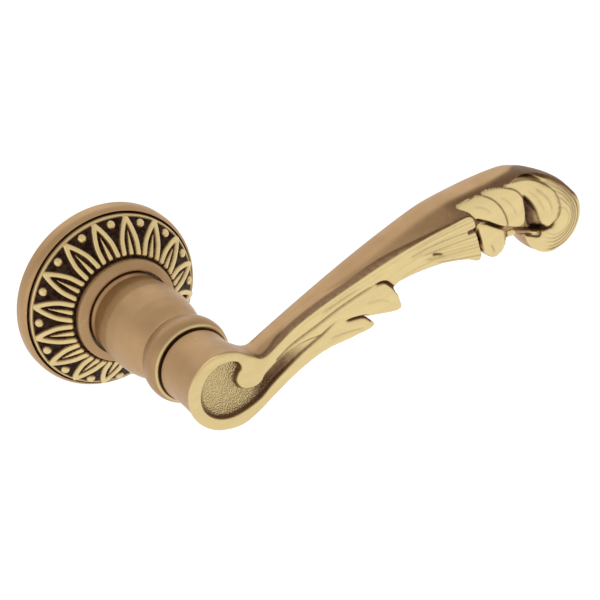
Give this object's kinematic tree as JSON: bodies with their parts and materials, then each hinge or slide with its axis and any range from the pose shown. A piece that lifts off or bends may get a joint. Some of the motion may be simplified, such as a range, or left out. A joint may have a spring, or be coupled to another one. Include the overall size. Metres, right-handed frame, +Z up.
{
  "type": "door lever handle",
  "caption": "Ornate door lever handle on a round leaf-patterned rose, with a sprung hub, square spindle and rear fixings.",
  "frame": {"origin": "where the spindle axis meets the door face, on the plane of the rose's back", "axes": "-Y out from the door towards the hand, +X along the lever away from the neck, +Z up"},
  "size_m": [0.1338, 0.0856, 0.05],
  "materials": {
    "cast_brass": "antique satin, bright on raised carving, dark in recesses",
    "turned_brass": "antique satin, turned",
    "zinc": "die-cast zinc, as cast",
    "steel": "zinc plated",
    "spring_steel": "oiled",
    "nylon": "moulded, natural"
  },
  "bodies": {
    "rose": {"rose_cover": "cast_brass", "bore_liner": "nylon", "rose_base": "zinc", "cover_snap_ring": "spring_steel", "guide_bush": "nylon", "locating_post_lever_side": "zinc", "locating_post_far_side": "zinc", "wood_screw_upper": "steel", "wood_screw_lower": "steel", "stop_pin_rest": "steel", "stop_pin_travel": "steel", "spring_anchor_pin": "steel", "return_spring": "spring_steel"},
    "lever": {"lever_arm": "cast_brass", "lever_neck": "turned_brass", "spindle": "steel", "set_screw": "steel", "cam_plate": "steel", "retaining_ring": "spring_steel", "thrust_washer": "steel", "joint_screw": "steel", "lock_washer": "spring_steel", "joint_dowel": "steel"}
  },
  "joints": [
    {"name": "lever_turn", "type": "hinge", "parent": "rose", "child": "lever", "pos_m": [0, 0, 0], "axis": [0, 1, 0], "range_deg": [0, 45], "stiffness_Nm_per_rad": 0.6, "springref_deg": -40.11, "deforming": ["return_spring"]}
  ]
}
